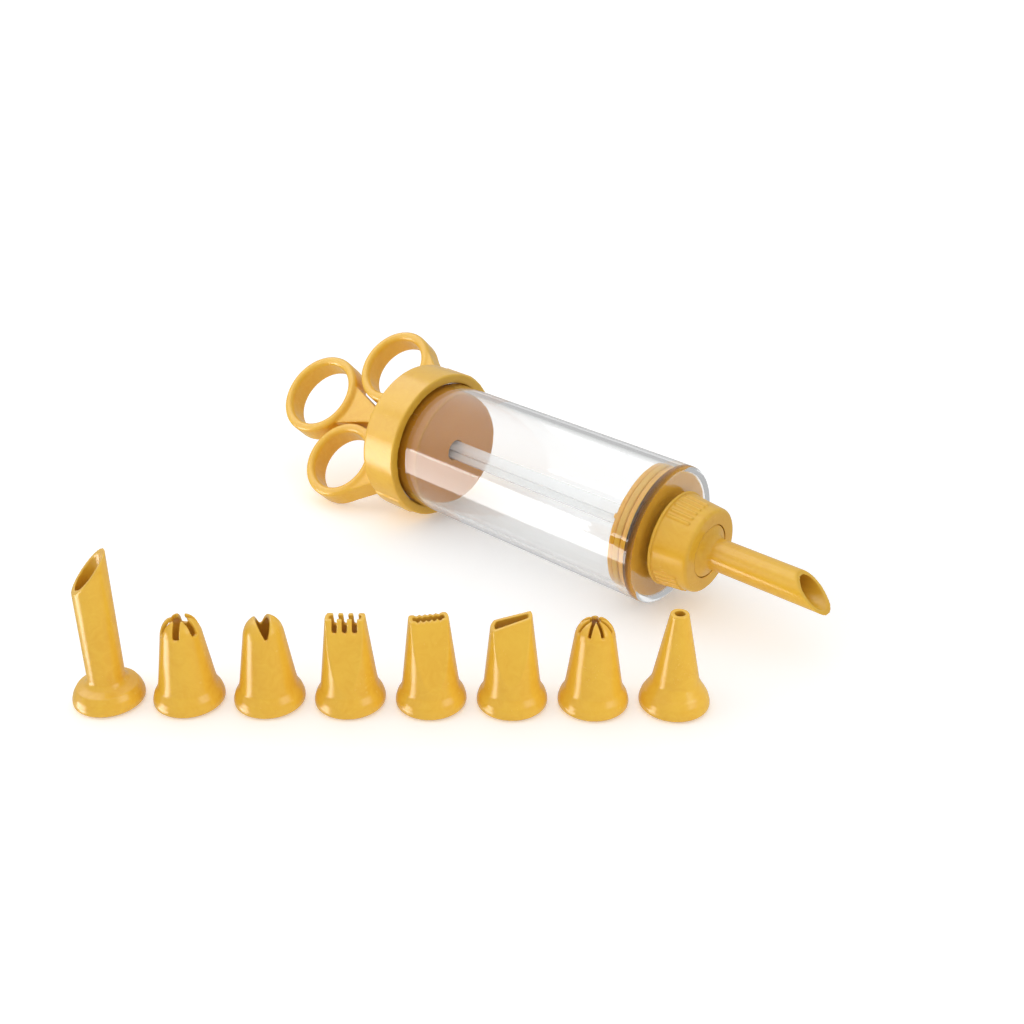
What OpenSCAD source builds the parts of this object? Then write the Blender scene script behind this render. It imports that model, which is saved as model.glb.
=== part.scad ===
// Pastry syringe with a clear barrel, lying on a table behind its row of loose nozzles.
// Millimetres, +Z up, table top at z = 0, nozzle end of the syringe toward +X.
// Syringe pieces are drawn upright, nozzle end up, with z = 0 at the barrel's front face,
// and lay_down() then lays them on the table. Loose nozzles are drawn standing on z = 0.

/* [Barrel] */
// Outside diameter of the clear barrel
barrel_d = 50; // [46:0.5:56]
// Wall of the barrel
barrel_wall = 2.2; // [1.6:0.1:3]
// Length of the barrel from its front face to its rear mouth
barrel_len = 118; // [95:1:150]
// Thickness of the clear end wall
end_wall = 3.2; // [2.4:0.1:5]
// Rounding of the barrel's front edge
front_round = 1.5; // [1:0.1:4]

/* [Neck and collar] */
// Diameter of the front neck at the root of its thread
neck_d = 23.4; // [22:0.1:26]
// Length of the front neck
neck_len = 9.6; // [7:0.1:14]
// Bore through the neck
neck_bore = 16; // [12:0.5:18]
// Height of the screw threads
thread_h = 1; // [0.6:0.1:1.4]
// Pitch of the screw threads
thread_pitch = 3.5; // [2.5:0.1:5]
// Room between the collar nut and the barrel's front face
collar_gap = 1.4; // [0.6:0.1:3]
// Wall of the collar nut at its rear edge
collar_wall = 3.4; // [2.6:0.1:5]
// How much the collar's radius shrinks toward the front
collar_taper = 1.5; // [0.5:0.1:2]
// Rounding of the collar's front edge
collar_round = 1.4; // [0.6:0.1:2]
// Ribs in each of the three grip groups
collar_ribs = 6; // [3:1:8]
// Angle from rib to rib
rib_step = 8.5; // [7:0.5:12]
// Radius of one rib
rib_r = 0.55; // [0.3:0.05:0.9]
// Length of the ribs
rib_len = 8.3; // [5:0.1:9]
// Roll of the first rib group about the syringe axis
rib_roll = 105; // [0:5:360]

/* [Nozzles] */
// Diameter of the clamped lip at the foot of each nozzle
lip_d = 21.6; // [20:0.1:23]
// Thickness of that lip
lip_t = 2.2; // [1.6:0.1:4]
// Height of the sloping shoulder that the collar presses on
shoulder_h = 3.8; // [2.5:0.1:5]
// Wall of the nozzles
nozzle_wall = 1.3; // [0.9:0.1:2]
// Diameter of the shoulder where it leaves the collar
shoulder_d = 18.2; // [16:0.1:19]
// Outside diameter of the long filling tube
tube_d = 11.2; // [9:0.1:13]
// Height of the long filling nozzle
tube_h = 51; // [40:1:65]
// Height of the slanted cut at its tip
cut_h = 12.5; // [6:0.5:18]
// Height of the short nozzles
short_h = 30; // [28:0.5:38]
// Width of the short nozzles' tips
tip_d = 12; // [10:0.1:13]
// Thickness of the flattened tips
flat_tip = 4.6; // [3.6:0.1:6]
// Height of the writing nozzle
writer_h = 32; // [30:0.5:40]
// Tip diameter of the writing nozzle
writer_tip = 5.6; // [4:0.1:7]
// Width of the slots in the open star tip
star_slot = 2; // [1.4:0.1:2.4]
// Width of the slots in the closed star tip
fine_slot = 1; // [0.6:0.1:1.4]
// Depth of the slots in the comb tip
comb_depth = 4; // [2:0.5:6]

/* [Cap and finger rings] */
// Length of the rear cap
cap_len = 16.3; // [13:0.1:24]
// Wall of the rear cap
cap_wall = 3.6; // [3:0.1:5]
// Thickness of the cap's back
cap_back = 3; // [2:0.1:4]
// Rounding of the cap's back edge
cap_round = 1.6; // [0.6:0.1:2]
// Diameter of the hub on the cap's back
hub_d = 18; // [15:0.5:22]
// Height of that hub
hub_h = 3.4; // [2:0.1:5]
// Hole of each finger ring
grip_hole = 25; // [22:0.2:30]
// Hole of the thumb ring
thumb_hole = 28; // [24:0.2:32]
// Wall of the rings
ring_wall = 3.9; // [3.3:0.1:5]
// Width of the ring bands
ring_w = 10.2; // [8:0.1:11]
// Rounding of the ring bands
ring_round = 1.6; // [0.8:0.1:1.6]
// Depth of the web that joins a finger ring to the cap
grip_web = 8; // [5:0.1:14]
// How far that web spreads outward past the middle of its ring
web_spread = 2; // [0:0.1:3]
// Room between the rings and the thumb ring
ring_gap = 2.6; // [2:0.1:5]
// Height of the raised pad beside each finger ring
pad_h = 0.6; // [0.3:0.1:1]

/* [Plunger] */
// Width of the cross-shaped rod
rod_w = 7; // [6:0.1:9]
// Thickness of the rod's ribs
rod_rib = 2.2; // [1.6:0.1:3]
// Thickness of the piston
piston_t = 6.6; // [5:0.1:10]
// Width of the piston's seal
seal_w = 2.4; // [2:0.1:4]
// Depth of the seal's groove
seal_depth = 2.2; // [1.4:0.1:3]
// Length of the boss behind the piston
boss_len = 5; // [4:0.1:9]
// Width of the thumb ring's neck
thumb_neck = 7; // [6:0.1:9]
// Length of the cone between that neck and the rod's socket
neck_cone = 6; // [4:0.5:9]
// Depth of the socket that holds the rod
socket_len = 11; // [8:0.5:16]
// How far the rod guide reaches into the barrel
guide_spigot = 17.6; // [10:0.1:24]
// Wall of the rod guide
guide_wall = 2.4; // [1.6:0.1:3.5]
// Lip of the rod guide behind the barrel's mouth
guide_lip = 2.9; // [2:0.1:4]
// Diameter of the cross pin in the thumb ring
pin_d = 2; // [1.5:0.1:2.5]
// Thread diameter of the piston screw
screw_d = 3; // [2.5:0.1:3.5]

/* [Nozzle row] */
// Distance from nozzle to nozzle
row_pitch = 24.7; // [23:0.1:35]
// Turn of the row away from the syringe axis
row_turn = 40; // [0:1:60]
// Row centre ahead of the barrel's front face
row_x = -29; // [-60:1:20]
// Room between the barrel's side and the row's centre line
row_gap = 82; // [76:1:110]

/* [Clearances] */
// Radial room of sliding and turning fits
fit = 0.3; // [0.2:0.05:0.4]
// Radial room of the seal and the fixed pins
close_fit = 0.02; // [0.01:0.01:0.05]
// Axial room between faces that seat on each other
seat = 0.1; // [0.05:0.05:0.2]

/* [Hidden] */
$fn = 64;
eps = 0.01;

barrel_r = barrel_d / 2;
bore_r = barrel_r - barrel_wall;

// Front end, upward from the barrel's front face
neck_r = neck_d / 2;
lip_r = lip_d / 2;
nozzle_z = neck_len + seat;
collar_bore_r = max(neck_r + thread_h, lip_r) + fit;
foot_h = lip_t + shoulder_h;
collar_top = nozzle_z + foot_h;
collar_foot = collar_gap;
collar_len = collar_top - collar_foot;
collar_r = collar_bore_r + collar_wall;
collar_slant = atan(collar_taper / collar_len);
shoulder_r = shoulder_d / 2;
foot_r = min(neck_bore / 2, shoulder_r - nozzle_wall);
tip_r = tip_d / 2;
tube_r = tube_d / 2;

// Rear end, downward from the barrel's mouth
guide_top = guide_spigot - barrel_len;
guide_foot = -barrel_len - seat - guide_lip;
guide_r = bore_r - fit;
cap_floor = guide_foot - seat;
cap_foot = cap_floor - cap_back;
cap_top = cap_foot + cap_len;
cap_bore_r = barrel_r + fit;
cap_r = cap_bore_r + cap_wall;
hub_foot = cap_foot - hub_h;
rod_r = sqrt(pow(rod_w / 2, 2) + pow(rod_rib / 2, 2)) + seat;
rod_hole_r = rod_r + fit;

// Threads start a ridge's width in from the neck's foot and the barrel's mouth
neck_thread_z = thread_h + 2 * seat;
rear_thread_z = -barrel_len + thread_h + 2 * seat;
rear_root_r = barrel_r - thread_h;
rear_step = cap_top - 1.5 * thread_h;
nut_ridge = thread_h * 0.6;

// Rings
grip_r = grip_hole / 2 + ring_wall;
thumb_r = thumb_hole / 2 + ring_wall;
grip_x = thumb_neck / 2 + ring_gap + grip_r;
grip_z = cap_foot - grip_web - grip_r;
thumb_z = grip_z - sqrt(pow(grip_r + thumb_r + ring_gap, 2) - pow(grip_x, 2));
web_w = ring_w - 1;

// Plunger, pushed fully in
piston_top = -end_wall - 2 * seat;
piston_foot = piston_top - piston_t;
boss_foot = piston_foot - boss_len;
piston_r = bore_r - fit;
groove_r = piston_r - seal_depth;
seal_r = bore_r - close_fit;
stub_r = rod_r - 0.8;
stub_top = piston_top - piston_t + 1.6;
head_r = stub_r + 1.4;
head_t = piston_t * 0.3;
boss_r = stub_r + fit + 3;
socket_top = hub_foot - 2 * fit;
socket_foot = socket_top - socket_len;
socket_r = thumb_neck / 2 + ring_gap - 2 * fit;
tail_r = stub_r - 0.4;

// Laid on the table, the syringe rests on the barrel's front edge and the cap's front edge
lie_tilt = atan((cap_r - barrel_r) / (-cap_top - front_round));
axis_h = barrel_r * cos(lie_tilt) - front_round * sin(lie_tilt);

// It is rolled until its lower finger ring touches the table too
ring_h = axis_h / cos(lie_tilt) - grip_z * tan(lie_tilt) - ring_round;
ring_far = grip_x + grip_r - ring_round;
ring_edge = ring_w / 2 - ring_round;
grip_roll = asin(min(1, ring_h / sqrt(pow(ring_far, 2) + pow(ring_edge, 2)))) - atan(ring_edge / ring_far);

// The whole set is centred on the origin
row_half = 3.5 * row_pitch;
row_y = -barrel_r - row_gap;
tip_reach = (nozzle_z + tube_h) * cos(lie_tilt) - tube_r * sin(lie_tilt);
row_reach = row_x + row_half * cos(row_turn) + lip_r;
far_x = max(tip_reach, row_reach);
near_x = (thumb_z - thumb_r) * cos(lie_tilt) - ring_edge * cos(grip_roll) * sin(lie_tilt);
ring_reach = ring_far * cos(grip_roll) + ring_edge * sin(grip_roll) + ring_round;
far_y = max(cap_r, ring_reach);
near_y = row_y - row_half * sin(row_turn) - lip_r;
mid_x = (far_x + near_x) / 2;
mid_y = (far_y + near_y) / 2;

// Lays an upright syringe piece on the table
module lay_down() {
    translate([-mid_x, -mid_y, axis_h])
    rotate([0, 90 + lie_tilt, 0])
    children();
}

// Turns a piece drawn in the XZ plane into the plane of the rings
module ring_plane() {
    rotate([0, 0, 90 + grip_roll])
    children();
}

// Stands a nozzle at its place in the row, counted from the left
module in_row(place) {
    translate([row_x - mid_x, row_y - mid_y, 0])
    rotate([0, 0, row_turn])
    translate([(place - 3.5) * row_pitch, 0, 0])
    children();
}

// Rectangle with rounded corners, centred
module round_rect(w, h, r) {
    square([w - 2 * r, h], center = true);
    square([w, h - 2 * r], center = true);
    for (i = [-1, 1], j = [-1, 1]) {
        translate([i * (w / 2 - r), j * (h / 2 - r)]) circle(r);
    }
}

// Ring band lying in the XZ plane
module ring_band(hole, z, x) {
    translate([x, 0, z])
    rotate([90, 0, 0])
    rotate_extrude()
    translate([hole / 2 + ring_wall / 2, 0])
    round_rect(ring_wall, ring_w, ring_round);
}

// Flat piece of the ring plane, drawn as [x, z] points
module flat_web(points, w) {
    rotate([90, 0, 0])
    linear_extrude(w, center = true)
    polygon(points);
}

// Number of quarter-turn arcs in a thread that has this much length
function thread_arcs(room) = floor((room - 2 * thread_h - 4 * seat) / (thread_pitch / 4));

// Round screw thread, interrupted four times a turn, rising from z on a wall of radius r
module thread(r, z, arcs, size) {
    lift = thread_pitch / 4;
    for (k = [0 : arcs - 1]) {
        translate([0, 0, z + (k + 0.5) * lift])
        rotate([0, 0, k * 90])
        rotate([atan(lift / (r * PI / 2)), 0, 0])
        rotate([0, 0, -40])
        rotate_extrude(angle = 80)
        translate([r, 0]) circle(size, $fn = 24);
    }
}

module barrel() {
    color([0.93, 0.95, 0.96, 0.35])
    lay_down()
    difference() {
        union() {
            rotate_extrude() {
                translate([0, -barrel_len]) square([rear_root_r, barrel_len - front_round]);
                translate([0, rear_step]) square([barrel_r, -front_round - rear_step]);
                translate([0, -front_round - eps]) square([barrel_r - front_round, front_round + eps]);
                translate([barrel_r - front_round, -front_round]) circle(front_round);
            }
            translate([0, 0, -eps]) cylinder(h = neck_len + eps, r = neck_r);
            thread(neck_r, neck_thread_z, thread_arcs(neck_len), thread_h);
            thread(rear_root_r, rear_thread_z, thread_arcs(rear_step + barrel_len), thread_h);
        }
        translate([0, 0, -barrel_len - 1]) cylinder(h = barrel_len + 1 - end_wall, r = bore_r);
        translate([0, 0, -end_wall - 1]) cylinder(h = end_wall + neck_len + 2, d = neck_bore);
    }
}

module rod_guide() {
    guide_h = guide_top - guide_foot;
    hub_r = rod_hole_r + guide_wall;
    color([0.92, 0.72, 0.25])
    lay_down()
    difference() {
        union() {
            translate([0, 0, guide_foot]) cylinder(h = guide_h, r = guide_r);
            translate([0, 0, guide_foot]) cylinder(h = guide_lip, r = barrel_r);
        }
        difference() {
            translate([0, 0, guide_foot - 1])
            cylinder(h = guide_h + 1 - guide_wall, r = guide_r - guide_wall);
            translate([0, 0, guide_foot - 2]) cylinder(h = guide_h + 2, r = hub_r);
        }
        translate([0, 0, guide_foot - 1]) cylinder(h = guide_h + 2, r = rod_hole_r);
    }
}

// One finger ring with the web that runs tangent from it to the cap's back
module finger_ring() {
    in_x = grip_x - grip_r + 0.4;
    edge_x = min(grip_x + web_spread, cap_r - cap_round);
    reach_x = edge_x - grip_x;
    reach_z = cap_foot - grip_z;
    reach = sqrt(reach_x * reach_x + reach_z * reach_z);
    r = grip_r - 0.4;
    leave = atan2(reach_z, reach_x) - acos(r / reach);
    ring_band(grip_hole, grip_z, grip_x);
    difference() {
        flat_web([[in_x, grip_z], [in_x, cap_foot + 1], [edge_x, cap_foot + 1], [edge_x, cap_foot],
            [grip_x + r * cos(leave), grip_z + r * sin(leave)], [grip_x, grip_z]], web_w);
        translate([grip_x, 0, grip_z])
        rotate([90, 0, 0])
        cylinder(h = 2 * ring_w, d = grip_hole + ring_wall, center = true);
    }
}

module finger_cap() {
    color([0.95, 0.78, 0.3])
    lay_down()
    difference() {
        union() {
            rotate_extrude() {
                translate([0, cap_foot + cap_round]) square([cap_r, cap_len - cap_round]);
                translate([0, cap_foot]) square([cap_r - cap_round, cap_round + eps]);
                translate([cap_r - cap_round, cap_foot + cap_round]) circle(cap_round);
            }
            translate([0, 0, hub_foot]) cylinder(h = hub_h + 1, d = hub_d);
            ring_plane() {
                finger_ring();
                mirror([1, 0, 0]) finger_ring();
                intersection() {
                    translate([0, 0, cap_foot + cap_round])
                    cylinder(h = cap_len - 2 * cap_round, r = cap_r + pad_h);
                    translate([-2 * cap_r, -ring_w / 2, cap_foot - 1]) cube([4 * cap_r, ring_w, cap_len + 2]);
                }
            }
        }
        difference() {
            translate([0, 0, cap_floor]) cylinder(h = cap_len, r = cap_bore_r);
            thread(cap_bore_r, rear_thread_z + thread_pitch / 2,
                thread_arcs(rear_step + barrel_len - thread_pitch), nut_ridge);
        }
        translate([0, 0, hub_foot - 1]) cylinder(h = cap_len, r = rod_hole_r);
    }
}

module piston() {
    color([0.93, 0.7, 0.22])
    lay_down()
    difference() {
        union() {
            translate([0, 0, piston_foot]) cylinder(h = piston_t, r = piston_r);
            translate([0, 0, boss_foot]) cylinder(h = boss_len + 1, r = boss_r);
            for (a = [0 : 60 : 300]) {
                rotate([0, 0, a])
                translate([0, -0.9, piston_foot - boss_len / 2])
                cube([groove_r - 1, 1.8, boss_len / 2 + 1]);
            }
        }
        translate([0, 0, piston_foot + (piston_t - seal_w) / 2 - seat])
        difference() {
            cylinder(h = seal_w + 2 * seat, r = piston_r + 1);
            translate([0, 0, -1]) cylinder(h = seal_w + 2 * seat + 2, r = groove_r);
        }
        translate([0, 0, piston_top - head_t - 2 * seat]) cylinder(h = head_t + 1, r = head_r + fit);
        translate([0, 0, boss_foot - 1]) cylinder(h = boss_len + piston_t + 2, d = screw_d + 2 * fit);
        translate([0, 0, boss_foot - 1]) cylinder(h = stub_top + seat - boss_foot + 1, r = stub_r + fit);
    }
}

module piston_seal() {
    color([0.96, 0.88, 0.6])
    lay_down()
    translate([0, 0, piston_foot + piston_t / 2])
    rotate_extrude() {
        translate([groove_r + close_fit, -seal_w / 2])
        square([seal_r - groove_r - close_fit - seal_w / 4, seal_w]);
        translate([seal_r - seal_w / 4 - eps, -seal_w / 4]) square([seal_w / 4 + eps, seal_w / 2]);
        translate([seal_r - seal_w / 4, seal_w / 4]) circle(seal_w / 4);
        translate([seal_r - seal_w / 4, -seal_w / 4]) circle(seal_w / 4);
    }
}

module piston_screw() {
    color([0.75, 0.76, 0.78])
    lay_down()
    difference() {
        union() {
            translate([0, 0, piston_top - head_t - seat]) cylinder(h = head_t, r = head_r);
            translate([0, 0, boss_foot + 1]) cylinder(h = piston_top - head_t - boss_foot - 1, d = screw_d);
        }
        for (a = [0, 90]) {
            rotate([0, 0, a])
            translate([-head_r * 0.6, -0.5, piston_top - seat - head_t / 2])
            cube([head_r * 1.2, 1, head_t]);
        }
    }
}

module plunger_rod() {
    rod_top = boss_foot - seat;
    rod_len = rod_top - 1 - socket_top - seat;
    color([0.9, 0.93, 0.95, 0.45])
    lay_down()
    difference() {
        union() {
            translate([0, 0, rod_top - 2]) cylinder(h = 2, r = rod_r);
            translate([0, 0, rod_top - eps]) cylinder(h = stub_top - rod_top, r = stub_r);
            ring_plane() {
                translate([-rod_w / 2, -rod_rib / 2, socket_top + seat]) cube([rod_w, rod_rib, rod_len]);
                translate([-rod_rib / 2, -rod_w / 2, socket_top + seat]) cube([rod_rib, rod_w, rod_len]);
            }
            translate([0, 0, socket_foot + seat]) cylinder(h = socket_len + 1, r = tail_r);
        }
        translate([0, 0, boss_foot + 1 - seat])
        cylinder(h = piston_t + boss_len, r = screw_d / 2 + close_fit);
        ring_plane()
        translate([0, 0, (socket_top + socket_foot) / 2])
        rotate([90, 0, 0])
        cylinder(h = 4 * rod_w, r = pin_d / 2 + close_fit, center = true);
    }
}

module thumb_ring() {
    pull_z = thumb_z + thumb_r;
    waist_z = grip_z + 2;
    color([0.95, 0.78, 0.3])
    lay_down()
    ring_plane()
    difference() {
        union() {
            ring_band(thumb_hole, thumb_z, 0);
            difference() {
                flat_web([[-thumb_neck / 2, socket_foot + 2], [-thumb_neck / 2, waist_z],
                    [-thumb_r * 0.55, pull_z - thumb_r * 0.3], [thumb_r * 0.55, pull_z - thumb_r * 0.3],
                    [thumb_neck / 2, waist_z], [thumb_neck / 2, socket_foot + 2]], thumb_neck);
                translate([0, 0, thumb_z])
                rotate([90, 0, 0])
                cylinder(h = 2 * ring_w, d = thumb_hole + ring_wall, center = true);
            }
            translate([0, 0, socket_foot - 2]) cylinder(h = socket_len + 2, r = socket_r);
            translate([0, 0, socket_foot - 2 - neck_cone])
            cylinder(h = neck_cone + eps, r1 = thumb_neck / 2, r2 = socket_r);
        }
        translate([0, 0, socket_foot]) cylinder(h = socket_len + 1, r = tail_r + close_fit);
        translate([0, 0, (socket_top + socket_foot) / 2])
        rotate([90, 0, 0])
        cylinder(h = 4 * socket_r, r = pin_d / 2 + close_fit, center = true);
    }
}

module rod_pin() {
    color([0.75, 0.76, 0.78])
    lay_down()
    ring_plane()
    translate([0, 0, (socket_top + socket_foot) / 2])
    rotate([90, 0, 0])
    cylinder(h = 2 * socket_r - 0.6, d = pin_d, center = true);
}

module collar_nut() {
    round_z = collar_top - collar_round;
    round_x = collar_r - (collar_round + sin(collar_slant) * (round_z - collar_foot)) / cos(collar_slant);
    rib_z = collar_foot + 2.2;
    rib_x = collar_r - collar_taper * (rib_z - collar_foot) / collar_len;
    color([0.95, 0.78, 0.3])
    lay_down()
    difference() {
        union() {
            rotate_extrude() {
                polygon([[0, collar_foot], [collar_r, collar_foot],
                    [round_x + collar_round * cos(collar_slant), round_z + collar_round * sin(collar_slant)],
                    [round_x, collar_top], [0, collar_top]]);
                translate([round_x, round_z]) circle(collar_round);
            }
            translate([0, 0, collar_foot + 0.4]) cylinder(h = 1, r = collar_r + rib_r);
            for (g = [0 : 120 : 240], k = [0 : collar_ribs - 1]) {
                rotate([0, 0, 90 + rib_roll + g + (k - (collar_ribs - 1) / 2) * rib_step])
                translate([rib_x, 0, rib_z])
                rotate([0, -collar_slant, 0])
                cylinder(h = rib_len, r = rib_r, $fn = 24);
            }
        }
        difference() {
            translate([0, 0, collar_foot - 1])
            cylinder(h = nozzle_z + lip_t + seat - collar_foot + 1, r = collar_bore_r);
            thread(collar_bore_r, neck_thread_z + thread_pitch / 2,
                thread_arcs(neck_len - thread_pitch), nut_ridge);
        }
        translate([0, 0, nozzle_z])
        rotate_extrude()
        polygon(concat([[0, 0], [lip_r + fit, 0]], shoulder_line(fit),
            [[shoulder_r + fit, foot_h + 1], [0, foot_h + 1]]));
    }
}

// Outline of the nozzle's sloping shoulder, and of the collar's seat on it, which stands room away
function shoulder_line(room) = [[lip_r + room, lip_t],
    [lip_r - 0.15 * shoulder_h + room, lip_t + shoulder_h / 2], [shoulder_r + room, foot_h]];

// Foot shared by every nozzle: a lip with a bevelled edge, and the sloping shoulder
module nozzle_foot() {
    edge = lip_t * 0.4;
    rotate_extrude()
    polygon(concat([[0, 0], [lip_r - edge, 0], [lip_r, edge]], shoulder_line(0), [[0, foot_h]]));
}

// Outside of a nozzle that narrows from the shoulder to radius r at height h
module nozzle_cone(r, h) {
    rotate_extrude()
    polygon([[0, lip_t], [shoulder_r - 0.1, lip_t], [shoulder_r - 0.1, foot_h],
        [shoulder_r - 0.6, foot_h + 2.5], [r, h], [0, h]]);
}

// Hollow of the same nozzle, open at the foot
module nozzle_hollow(r, h) {
    rotate_extrude()
    polygon([[0, -1], [foot_r, -1], [foot_r, lip_t], [r - nozzle_wall, h], [0, h]]);
}

// Short nozzle with a closed dome, which its children are cut from
module dome_nozzle() {
    dome_z = short_h - tip_r;
    seam_z = dome_z + tip_r / 6;
    difference() {
        union() {
            nozzle_foot();
            nozzle_cone(tip_r, seam_z);
            translate([0, 0, dome_z]) sphere(tip_r);
        }
        nozzle_hollow(tip_r, seam_z);
        translate([0, 0, dome_z]) sphere(tip_r - nozzle_wall);
        translate([0, 0, dome_z]) children();
    }
}

// Long slabs whose thickness grows downward from the flattened tip
module wedge(thick, h) {
    slope = (shoulder_r - 0.6 - flat_tip / 2) / (short_h - foot_h - 2.5);
    foot_y = thick / 2 + slope * (h + 1);
    top_y = thick / 2 - slope;
    rotate([90, 0, 90])
    linear_extrude(4 * shoulder_r, center = true)
    polygon([[-foot_y, -1], [foot_y, -1], [top_y, h + 1], [-top_y, h + 1]]);
}

// Short nozzle pressed flat at its tip, with a slit, which its children are cut from
module flat_nozzle(h) {
    difference() {
        union() {
            nozzle_foot();
            intersection() {
                nozzle_cone(tip_r, h);
                wedge(flat_tip, h);
            }
        }
        intersection() {
            nozzle_hollow(tip_r, h + eps);
            wedge(flat_tip - 2 * nozzle_wall, h + eps);
        }
        translate([0, 0, h]) children();
    }
}

// Long tube with a slanted tip whose point lies toward +X
module tube_nozzle() {
    knee_z = foot_h + 1;
    difference() {
        union() {
            nozzle_foot();
            rotate_extrude()
            polygon([[0, lip_t], [shoulder_r - 0.1, lip_t], [shoulder_r - 0.1, foot_h - 0.1],
                [tube_r + 1, knee_z], [tube_r, knee_z + 1.4], [tube_r, tube_h], [0, tube_h]]);
        }
        rotate_extrude()
        polygon([[0, -1], [foot_r, -1], [foot_r, lip_t - 1], [tube_r - nozzle_wall, knee_z],
            [tube_r - nozzle_wall, tube_h + 1], [0, tube_h + 1]]);
        translate([tube_r, 0, tube_h])
        rotate([0, -atan(cut_h / tube_d), 0])
        translate([-4 * tube_h, -tube_d, 0])
        cube([5 * tube_h, 2 * tube_d, 2 * tube_h]);
    }
}

module fitted_nozzle() {
    color([0.95, 0.78, 0.3])
    lay_down()
    translate([0, 0, nozzle_z])
    tube_nozzle();
}

module filling_nozzle() {
    color([0.95, 0.78, 0.3])
    in_row(0)
    rotate([0, 0, 25])
    tube_nozzle();
}

module open_star_nozzle() {
    color([0.95, 0.78, 0.3])
    in_row(1)
    dome_nozzle() {
        for (a = [30 : 60 : 330]) {
            rotate([0, 0, a])
            translate([1.2, -star_slot / 2, tip_r * 0.1])
            cube([2 * tip_r, star_slot, 2 * tip_r]);
        }
        translate([0, 0, tip_r * 0.1]) cylinder(h = 2 * tip_r, r = 2.4);
    }
}

module leaf_nozzle() {
    color([0.95, 0.78, 0.3])
    in_row(2)
    rotate([0, 0, 20])
    dome_nozzle() {
        rotate([90, 0, 0])
        linear_extrude(4 * tip_r, center = true)
        polygon([[-0.3, tip_r * 0.1], [0.3, tip_r * 0.1],
            [tip_r * 0.8, 2 * tip_r], [-tip_r * 0.8, 2 * tip_r]]);
    }
}

module basket_nozzle() {
    gap = tip_d / 8;
    color([0.95, 0.78, 0.3])
    in_row(3)
    flat_nozzle(short_h) {
        for (k = [-1 : 1]) {
            translate([(k * 2 - 0.5) * gap, -2 * flat_tip, -comb_depth])
            cube([gap, 4 * flat_tip, 2 * comb_depth]);
        }
    }
}

module ribbon_nozzle() {
    notch = tip_d / 11;
    color([0.95, 0.78, 0.3])
    in_row(4)
    rotate([0, 0, 12])
    flat_nozzle(short_h) {
        for (k = [-2 : 2]) {
            translate([k * 1.5 * notch, 0, 0])
            rotate([0, 45, 0])
            cube([notch, 4 * flat_tip, notch], center = true);
        }
    }
}

module petal_nozzle() {
    color([0.95, 0.78, 0.3])
    in_row(5)
    flat_nozzle(short_h + 1.4) {
        translate([tip_r, 0, 0])
        rotate([0, -20, 0])
        translate([-4 * tip_r, -2 * flat_tip, 0])
        cube([6 * tip_r, 4 * flat_tip, 4 * tip_r]);
    }
}

module closed_star_nozzle() {
    color([0.95, 0.78, 0.3])
    in_row(6)
    dome_nozzle() {
        for (a = [22.5 : 45 : 337.5]) {
            rotate([0, 0, a])
            translate([0.6, -fine_slot / 2, tip_r * 0.3])
            cube([2 * tip_r, fine_slot, 2 * tip_r]);
        }
        translate([0, 0, tip_r * 0.3]) cylinder(h = 2 * tip_r, r = 1.2);
    }
}

module writing_nozzle() {
    color([0.95, 0.78, 0.3])
    in_row(7)
    difference() {
        union() {
            nozzle_foot();
            rotate_extrude()
            polygon([[0, lip_t], [shoulder_r - 0.1, lip_t], [shoulder_r - 0.1, foot_h],
                [shoulder_r - 1.8, foot_h + 3], [writer_tip / 2, writer_h], [0, writer_h]]);
        }
        rotate_extrude()
        polygon([[0, -1], [foot_r, -1], [foot_r, lip_t], [shoulder_r - 1.8 - nozzle_wall, foot_h + 3],
            [writer_tip / 2 - nozzle_wall, writer_h], [writer_tip / 2 - nozzle_wall, writer_h + 1],
            [0, writer_h + 1]]);
    }
}

barrel();
rod_guide();
finger_cap();
piston();
piston_seal();
piston_screw();
plunger_rod();
thumb_ring();
rod_pin();
collar_nut();
fitted_nozzle();
filling_nozzle();
open_star_nozzle();
leaf_nozzle();
basket_nozzle();
ribbon_nozzle();
petal_nozzle();
closed_star_nozzle();
writing_nozzle();
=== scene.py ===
"""Pastry syringe and eight loose nozzles, dressed on the CAD frame in a white studio."""

import math

import bmesh
import bpy
from bpy.props import FloatProperty, FloatVectorProperty, IntProperty, PointerProperty
from mathutils import Matrix, Vector


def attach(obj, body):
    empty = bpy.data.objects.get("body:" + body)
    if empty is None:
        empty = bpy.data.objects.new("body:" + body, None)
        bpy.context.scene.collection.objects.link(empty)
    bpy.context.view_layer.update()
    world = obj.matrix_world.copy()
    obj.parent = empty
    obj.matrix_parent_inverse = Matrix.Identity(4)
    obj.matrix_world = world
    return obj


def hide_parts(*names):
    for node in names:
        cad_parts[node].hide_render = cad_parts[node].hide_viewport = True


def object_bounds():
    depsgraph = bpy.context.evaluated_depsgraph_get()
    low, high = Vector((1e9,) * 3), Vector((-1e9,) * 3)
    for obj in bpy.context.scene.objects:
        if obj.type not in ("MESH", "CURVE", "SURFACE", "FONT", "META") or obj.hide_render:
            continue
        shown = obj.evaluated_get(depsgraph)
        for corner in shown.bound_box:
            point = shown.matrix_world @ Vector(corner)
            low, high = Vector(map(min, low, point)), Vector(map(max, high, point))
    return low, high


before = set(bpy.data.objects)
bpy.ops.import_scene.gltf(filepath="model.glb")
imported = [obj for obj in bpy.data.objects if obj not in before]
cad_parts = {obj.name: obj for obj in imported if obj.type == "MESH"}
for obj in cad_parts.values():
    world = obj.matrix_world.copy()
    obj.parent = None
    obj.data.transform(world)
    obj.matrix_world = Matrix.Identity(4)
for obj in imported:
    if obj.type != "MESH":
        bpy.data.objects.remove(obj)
CAD_BOX = [list(corner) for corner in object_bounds()]

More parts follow.
